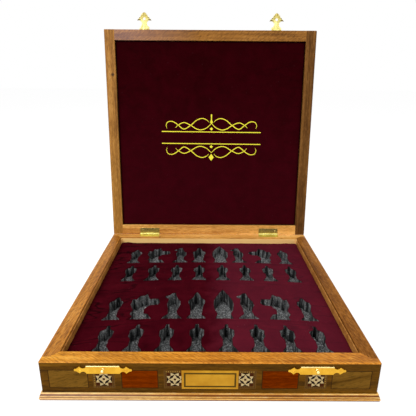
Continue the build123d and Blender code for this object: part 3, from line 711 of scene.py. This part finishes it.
def velvet_row(number, material, cut_edge):
    """The velvet over one row: domed with the insert, creased, turned down at the pockets."""
    node = f"velvet_row_{number}"
    bm = gridded(node, 0.0035, (0, 1))
    low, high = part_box(node)
    cut = sum(face.calc_area() for face in bm.faces if face.normal.z > 0.9)
    top_rims = [edge for edge in bm.edges if edge.calc_face_angle(0.0) > 1.0
                and min(end.co.z for end in edge.verts) > VELVET_TOP - NUDGE]
    turned_down = {vert for edge in top_rims for vert in edge.verts}
    for vert in bm.verts:
        x, y, z = vert.co
        border = to_border(x, y, low, high)
        inside = border > OUTER_EDGE
        drop = 0.35 * MM if vert in turned_down and inside else 0.0
        vert.co.z = z + dome(x, y) + creases(x, y) - seam(border) - drop
        if inside:
            sway = wobble(x, y)
            vert.co.x = x + sway[0]
            vert.co.y = y + sway[1]
    bm.normal_update()
    for face in bm.faces:
        face.material_index = 1 if abs(face.normal.z) < 0.5 else 0
    mesh = meshed(bm, node + "_mesh")
    piece = new_piece(f"velvet_cover_{number}", mesh, "case", material)
    piece.data.materials.append(cut_edge)
    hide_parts(node)


def foam_row(number, material):
    """The foam under one row, its cut walls slightly torn, domed with the velvet on it."""
    node = f"foam_row_{number}"
    bm = gridded(node, 0.0045, (0, 1, 2))
    low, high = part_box(node)
    for vert in bm.verts:
        x, y, z = vert.co
        lift = (z - POCKET_FLOOR) / (FOAM_TOP - POCKET_FLOOR)
        border = to_border(x, y, low, high)
        vert.co.z = z + lift * (dome(x, y) + creases(x, y) - seam(border) - 0.1 * MM)
        if border > OUTER_EDGE:
            tear = noise.noise_vector(vert.co * 240) * 0.35 * MM * (1 - lift)
            sway = wobble(x, y)
            vert.co.x = x + sway[0] + tear.x
            vert.co.y = y + sway[1] + tear.y
    mesh = meshed(bm, node + "_mesh")
    piece = new_piece(f"foam_block_{number}", mesh, "case", material)
    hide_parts(node)


def foam_floor(material):
    """The foam sheet that closes the pockets from below, its skin uneven."""
    bm = gridded("foam_base", 0.004, (0, 1))
    for vert in bm.verts:
        if vert.co.z > POCKET_FLOOR - NUDGE:
            vert.co.z -= (0.3 + 0.28 * noise.noise(vert.co * 160)) * MM
    piece = new_piece("foam_floor", meshed(bm, "foam_floor_mesh"), "case", material)
    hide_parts("foam_base")


def lid_lining(material):
    """The lid's velvet, stretched over its board with faint creases across it."""
    low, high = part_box("lid_velvet")
    half = (high.x - low.x) / 2
    low = Vector((low.x, -half, LINING))
    high = Vector((high.x, half, LINING + 0.001))
    count = 96
    bm = bmesh.new()
    grid = []
    for level in (0, 1):
        rows = []
        for j in range(count + 1):
            row = []
            for i in range(count + 1):
                x = low.x + (high.x - low.x) * i / count
                y = low.y + (high.y - low.y) * j / count
                z = low.z + level * (high.z - low.z)
                if level == 0:
                    z += lining_relief(x, y, to_border(x, y, low, high))
                row.append(bm.verts.new(opened((x, y, z))))
            rows.append(row)
        grid.append(rows)
    for level, rows in enumerate(grid):
        for j in range(count):
            for i in range(count):
                quad = (rows[j][i], rows[j][i + 1], rows[j + 1][i + 1], rows[j + 1][i])
                bm.faces.new(quad if level else quad[::-1])
    for n in range(count):
        for a, b in (((0, n), (0, n + 1)), ((n + 1, count), (n, count)),
                     ((count, n + 1), (count, n)), ((n, 0), (n + 1, 0))):
            bm.faces.new((grid[0][a[0]][a[1]], grid[0][b[0]][b[1]],
                          grid[1][b[0]][b[1]], grid[1][a[0]][a[1]]))
    bmesh.ops.recalc_face_normals(bm, faces=bm.faces)
    piece = new_piece("lid_lining", meshed(bm, "lid_lining_mesh"), "lid", material)
    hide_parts("lid_velvet")


def lining_relief(x, y, edge):
    """How far the lid's velvet lies below its frame surface: rolled edges and faint creases."""
    roll = 0.6 * MM * math.exp(-edge / (1.6 * MM))
    x, y = x / MM, y / MM
    crease = 0.0
    for place, sway in ((-54, 3.5), (56, 0.3)):
        distance = y - place - sway * math.sin(x / 90)
        depth = 0.16 * math.exp(-(distance / 1.6) ** 2)
        crease += depth * (0.4 + 0.6 * noise.noise(Vector((x / 60, place, 0))))
    soft = 0.12 * noise.noise(Vector((x * 0.02, y * 0.035, 4.0)))
    return roll + max(0.0, 0.12 + soft - crease) * MM


# --- printed ornament of the lid -----------------------------------------------------------------
def smooth_line(points):
    """A curve through the points, sampled evenly (Catmull-Rom)."""
    steps = 14
    points = [Vector(point) for point in points]
    points = [2 * points[0] - points[1]] + points + [2 * points[-1] - points[-2]]
    line = []
    for n in range(1, len(points) - 2):
        p0, p1, p2, p3 = points[n - 1:n + 3]
        for k in range(steps):
            t = k / steps
            line.append(0.5 * (2 * p1 + (p2 - p0) * t + (2 * p0 - 5 * p1 + 4 * p2 - p3) * t * t
                               + (3 * p1 - p0 - 3 * p2 + p3) * t ** 3))
    line.append(points[-2])
    return line


def ribbon(bm, line, widths):
    """A thin printed stroke on the lining; line is (x, height above the hinge) in millimetres."""
    last = len(line) - 1
    rows = []
    for n, point in enumerate(line):
        ahead = line[min(n + 1, last)] - line[max(n - 1, 0)]
        side = Vector((-ahead.y, ahead.x)).normalized()
        at = n / last * (len(widths) - 1)
        k = min(int(at), len(widths) - 2)
        half = (widths[k] + (widths[k + 1] - widths[k]) * (at - k)) / 2
        rows.append([on_lining(bm, *(point + side * half)), on_lining(bm, *(point - side * half))])
    for (a, b), (c, d) in zip(rows, rows[1:]):
        bm.faces.new((a, b, d, c))


def on_lining(bm, x, height):
    """A printed point, just in front of the lid's velvet."""
    return bm.verts.new(opened((x * MM, HALF - height * MM, LINING - 0.16 * MM)))


def lozenge(bm, x, height, half_wide, half_high):
    corners = ((half_wide, 0), (0, half_high), (-half_wide, 0), (0, -half_high))
    bm.faces.new([on_lining(bm, x + a, height + b) for a, b in corners])


def flourish(material):
    """A pair of scrolled ornaments and two rules, printed in gold."""
    centre = 3.3
    outer_strand = ((-88.4, -8.6), (-90.0, -3.0), (-87.2, 3.2), (-80.2, 5.2), (-73.2, 3.0),
                    (-66.0, -2.0), (-54.6, -9.8), (-41.2, -2.4), (-30, 7.0), (-19.4, 11.0),
                    (-10.5, 8.8), (-4.8, 3.8))
    inner_strand = ((-71.6, -7.6), (-66.0, -2.0), (-54.5, 2.8), (-41.2, -2.4), (-31, -8.8),
                    (-21.5, -11.2), (-10, -7.6), (0.0, 1.4))
    outer_widths = (0.5, 1.2, 1.5, 1.7, 1.7, 1.8, 1.7, 1.6, 1.5, 0.5)
    inner_widths = (0.5, 1.5, 1.7, 1.7, 1.7, 1.6, 1.1)
    bm = bmesh.new()
    for flip, level in ((1, 226.6), (-1, 171.6)):
        for side in (1, -1):
            for strand, widths in ((outer_strand, outer_widths), (inner_strand, inner_widths)):
                points = [(centre + side * x, level + flip * height) for x, height in strand]
                ribbon(bm, smooth_line(points), widths)
    for level in (211.6, 188.2):
        rule = ((-95.6, level + 0.3), (centre, level - 0.3), (101.8, level - 0.9))
        ribbon(bm, [Vector(point) for point in rule], (1.7, 1.7, 1.7))
    finial = ((245.8, 1.0), (244.8, 3.0), (242.4, 2.4), (238.6, 1.8), (234.6, 2.4), (231.6, 4.6),
              (229.4, 5.6), (228.2, 2.6))
    ribbon(bm, [Vector((centre, height)) for height, _ in finial], [width for _, width in finial])
    lozenge(bm, centre, 217.4, 3.4, 3.2)
    lozenge(bm, centre, 182.2, 3.4, 3.2)
    lozenge(bm, centre, 160.9, 5.2, 7.0)
    bmesh.ops.recalc_face_normals(bm, faces=bm.faces)
    mesh = bpy.data.meshes.new("flourish")
    bm.to_mesh(mesh)
    bm.free()
    new_piece("flourish", mesh, "lid", material)


# --- small brass ---------------------------------------------------------------------------------
def turned(profile, top, around=24):
    """A lathe-turned solid from (radius, height) points, closed below and pointed at the top."""
    bm = bmesh.new()
    angles = [2 * math.pi * k / around for k in range(around)]
    loops = [[bm.verts.new((radius * math.cos(a), radius * math.sin(a), level)) for a in angles]
             for radius, level in profile]
    for lower, upper in zip(loops, loops[1:]):
        for k in range(around):
            bm.faces.new((lower[k], lower[(k + 1) % around], upper[(k + 1) % around], upper[k]))
    tip = bm.verts.new((0, 0, top))
    for k in range(around):
        bm.faces.new((loops[-1][k], loops[-1][(k + 1) % around], tip))
    bm.faces.new(loops[0][::-1])
    return bm


def screw_mesh(radius, height, slot_turn):
    """A countersunk screw's head: shallow dome with a slot across it, standing on z = 0."""
    rings = [(1.0, 0.0), (1.0, 0.25), (0.86, 0.62), (0.6, 0.86), (0.3, 0.97)]
    bm = turned([(radius * share, height * level) for share, level in rings], height)
    half = radius * 0.15
    normal = Vector((-math.sin(slot_turn), math.cos(slot_turn), 0))
    for offset in (-half, -half * 0.7, half * 0.7, half):
        bmesh.ops.bisect_plane(bm, geom=bm.verts[:] + bm.edges[:] + bm.faces[:], dist=1e-7,
                               plane_co=normal * offset, plane_no=normal)
    for vert in bm.verts:
        if abs(vert.co.dot(normal)) < half * 0.75 and vert.co.z > height * 0.3:
            vert.co.z -= height * 0.7
    return bm


def screw(name, body, place, facing, turn, material, radius=1.7, height=0.5):
    """A screw head on a surface, facing outwards along a direction."""
    bm = screw_mesh(radius * MM, height * MM, math.radians(turn))
    spin = Vector((0, 0, 1)).rotation_difference(Vector(facing)).to_matrix().to_4x4()
    bm.transform(Matrix.Translation(Vector(place)) @ spin)
    new_piece(name, meshed(bm, name, 40), body, material)


def knobs(material):
    """The two ball knobs, on a turned collar and stem that goes down into the wall."""
    profile = [(1.2, -8.0), (1.2, 1.2), (1.9, 1.25), (1.9, 1.6), (1.3, 1.9), (1.15, 2.6),
               (1.3, 3.05)]
    ball, middle = 2.1, 4.55
    for n in range(9):
        angle = math.radians(-38 + 15 * n)
        profile.append((ball * math.cos(angle), middle + ball * math.sin(angle)))
    for name, sign in SIDES:
        bm = turned([(r * MM, z * MM) for r, z in profile], 6.65 * MM, 32)
        spot = Matrix.Translation((sign * HASP_X, -HALF, KNOB_LEVEL))
        bm.transform(spot @ Matrix.Rotation(math.pi / 2, 4, "X"))
        piece = new_piece("knob_" + name, meshed(bm, "knob_" + name, 35), "case", material)
        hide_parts("strike_knobs")


def at_lid(place, facing):
    """A place and a direction of the shut lid, with the lid open."""
    return opened(place), Matrix.Rotation(-OPEN, 3, "X") @ Vector(facing)


def fasteners(plate, hinge, fan):
    """Screws of the hinges and of the hasp plates, and the strike plates' round-head pins."""
    hinge_x, hinge_y = 0.124, 0.1915
    case_leaf, lid_leaf = 0.05215, 0.05325
    for name, sign in SIDES:
        for n, side in enumerate((-1, 1)):
            x = sign * hinge_x + side * 14.5 * MM
            screw(f"hinge_case_screw_{name}_{n}", "case", (x, hinge_y, case_leaf), (0, 0, 1),
                  35 + 50 * n + 20 * sign, hinge)
            place, out = at_lid((x, hinge_y, lid_leaf), (0, 0, -1))
            screw(f"hinge_lid_screw_{name}_{n}", "lid", place, out, 70 - 45 * n, hinge)
            x = sign * HASP_X + side * 12.5 * MM
            place, out = at_lid((x, -HALF - 0.0010, HASP_Z + 0.0048), (0, -1, 0))
            screw(f"hasp_screw_{name}_{n}", "lid", place, out, 20 + 60 * n, fan,
                  1.5, 0.45)
            x = sign * HASP_X + side * 27 * MM
            screw(f"strike_pin_{name}_{n}", "case", (x, -HALF - 0.0012, 0.0423), (0, -1, 0),
                  15 + 80 * n, plate, 1.3, 0.5)


def hasp_ribs(material):
    """Raised ribs that fan out over both sides of each hasp's shell."""
    for side, sign in SIDES:
        bm = bmesh.new()
        for face in (1, -1):
            for n in range(-4, 5):
                reach = max(10.6 - 0.35 * n * n, 5.2)
                rib(bm, sign, math.radians(n * 19.5), 3.4, reach, face)
        bmesh.ops.recalc_face_normals(bm, faces=bm.faces)
        name = "hasp_ribs_" + side
        new_piece(name, meshed(bm, name, 30), "hasp_" + side, material)


def rib(bm, sign, angle, start, end, face):
    """One tapered ridge on a face of the fan, from start to end in mm along a ray from its hole."""
    direction = Vector((math.sin(angle), 0, math.cos(angle)))
    across = Vector((direction.z, 0, -direction.x))
    hole = Vector((sign * HASP_X, 0, FAN_HOLE)) / MM
    rows = []
    for share, half, rise in ((0, 0.25, 0.05), (0.12, 0.4, 0.28), (0.55, 0.62, 0.42),
                              (0.9, 0.85, 0.4), (1.0, 0.8, 0.05)):
        middle = hole + direction * (start + (end - start) * share)
        crest = middle + Vector((0, -rise, 0))
        rows.append([middle + across * half, crest + across * half * 0.4,
                     crest - across * half * 0.4, middle - across * half])
    loops = [[bm.verts.new(on_fan(point, face)) for point in row] for row in rows]
    for a, b in zip(loops, loops[1:]):
        for k in range(3):
            bm.faces.new((a[k], b[k], b[k + 1], a[k + 1]))
    bm.faces.new(loops[0])
    bm.faces.new(loops[-1][::-1])


def on_fan(point, face):
    """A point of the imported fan, in mm: x, out of its sheet (-y), away from the pin (z)."""
    level = FAN_FAR - point.y * MM if face == 1 else FAN_NEAR + point.y * MM
    return opened((point.x * MM, HASP_Y - point.z * MM, HASP_Z + level))


# --- light and floor -----------------------------------------------------------------------------
def camera_ray(tree):
    """1 for what the camera, a mirror or glass sees, 0 for light falling on the object."""
    path = tree.nodes.new("ShaderNodeLightPath")
    value = path.outputs["Is Camera Ray"]
    for other in ("Is Glossy Ray", "Is Transmission Ray"):
        add = tree.nodes.new("ShaderNodeMath")
        add.operation = "MAXIMUM"
        tree.links.new(value, add.inputs[0])
        tree.links.new(path.outputs[other], add.inputs[1])
        value = add.outputs[0]
    return value


def studio():
    """A white surround, dimmer as light than as it looks, and three soft lamps."""
    world = bpy.data.worlds.new("studio")
    bpy.context.scene.world = world
    world.use_nodes = True
    tree = world.node_tree
    background = tree.nodes["Background"]
    background.inputs["Color"].default_value = (1, 1, 1, 1)
    strength = tree.nodes.new("ShaderNodeMapRange")
    strength.inputs["To Min"].default_value = 0.55
    strength.inputs["To Max"].default_value = 1.0
    tree.links.new(camera_ray(tree), strength.inputs["Value"])
    tree.links.new(strength.outputs[0], background.inputs["Strength"])
    for name, place, aim, size, power in (
        ("key", (-1.3, -1.5, 1.7), (0, 0, 0.1), 1.2, 36),
        ("fill", (1.5, -1.5, 0.9), (0, 0, 0.15), 1.6, 9),
        ("top", (0.2, 0.1, 2.2), (0, 0, 0), 1.6, 13),
    ):
        data = bpy.data.lights.new(name, "AREA")
        data.shape = "DISK"
        data.size = size
        data.energy = power
        lamp = bpy.data.objects.new(name, data)
        lamp.location = place
        lamp.rotation_euler = (Vector(aim) - Vector(place)).to_track_quat("-Z", "Y").to_euler()
        bpy.context.scene.collection.objects.link(lamp)


def floor():
    """A large pale floor that is partly lit by itself where the camera sees it."""
    far = 12.0
    mesh = bpy.data.meshes.new("floor")
    mesh.from_pydata([(-far, -far, 0), (far, -far, 0), (far, far, 0), (-far, far, 0)], [],
                     [(0, 1, 2, 3)])
    plane = bpy.data.objects.new("floor", mesh)
    plane.location.z = -0.0002
    bpy.context.scene.collection.objects.link(plane)
    material = bpy.data.materials.new("floor")
    material.use_nodes = True
    tree = material.node_tree
    shader = tree.nodes["Principled BSDF"]
    shader.inputs["Base Color"].default_value = (0.93, 0.93, 0.93, 1)
    shader.inputs["Roughness"].default_value = 0.9
    shader.inputs["Specular IOR Level"].default_value = 0.0
    glow = tree.nodes.new("ShaderNodeEmission")
    glow.inputs["Strength"].default_value = 1.28
    mix = tree.nodes.new("ShaderNodeMixShader")
    share = tree.nodes.new("ShaderNodeMath")
    share.operation = "MULTIPLY"
    share.inputs[1].default_value = 0.62
    tree.links.new(camera_ray(tree), share.inputs[0])
    tree.links.new(share.outputs[0], mix.inputs[0])
    tree.links.new(shader.outputs[0], mix.inputs[1])
    tree.links.new(glow.outputs[0], mix.inputs[2])
    tree.links.new(mix.outputs[0], tree.nodes["Material Output"].inputs["Surface"])
    mesh.materials.append(material)


def main():
    noise.seed_set(4)               # vector noise differs from run to run without it
    bpy.context.scene.view_settings.view_transform = "Standard"
    add_camera()
    studio()
    floor()
    plate, hinge, fan = finish_nodes()
    soften(("wall_", "lid_rail_front", "moulding_"), 0.0005)
    meeting_edges()
    soften(("strike_plate", "hinge_", "hasp_"), 0.0002)
    # painted sheen on both velvets: the tray's lighter towards the right, the lid's lighter lower
    # down
    tray = velvet("tray_velvet", rgb(72, 6, 18), rgb(52, 1, 10), rgb(150, 40, 60), 0.12,
                  brushed=("x", 0.012, 0.05, rgb(76, 26, 38)))
    # the lid's velvet is a shaded copy of the tray's, painted darker for the upright lid
    lid = velvet("lid_velvet", rgb(47, 0, 6), rgb(36, 0, 3), rgb(110, 20, 34), 0.04, lid=True,
                 fleck=0.25, brushed=("y", -0.1, 0.19, rgb(50, 6, 14)))
    # the velvet's cut edges: their own lighter pile, with a painted sheen where they catch the
    # light
    fringe = plain("velvet_cut_edge", (rgb(120, 28, 42), rgb(186, 84, 92)), 900, 0.9, 0.0006)
    # the pocket walls' foam: a shaded copy, with dark painted streaks
    foam = foam_finish("foam", 0.96, (190, 192, 192))
    for number in range(1, 5):
        foam_row(number, foam)
        velvet_row(number, tray, fringe)
    # the pocket floors' foam: a lit copy, painted paler with fewer painted streaks
    foam_floor(foam_finish("foam_lit_floor", 0.3, (250, 252, 252)))
    lid_lining(lid)
    gold = plain("gold_print", (rgb(224, 210, 52), rgb(246, 238, 74)), 400, 0.6, 0.00002, lid=True)
    flourish(gold)
    fasteners(plate, hinge, fan)
    # the knobs' brass: a paler copy of the hasp brass, painted lighter so the balls look brightly
    # lit
    knobs(brass("knob_brass_painted_bright", rgb(252, 236, 170), rgb(240, 212, 120), 0.16))
    hasp_ribs(fan)


main()
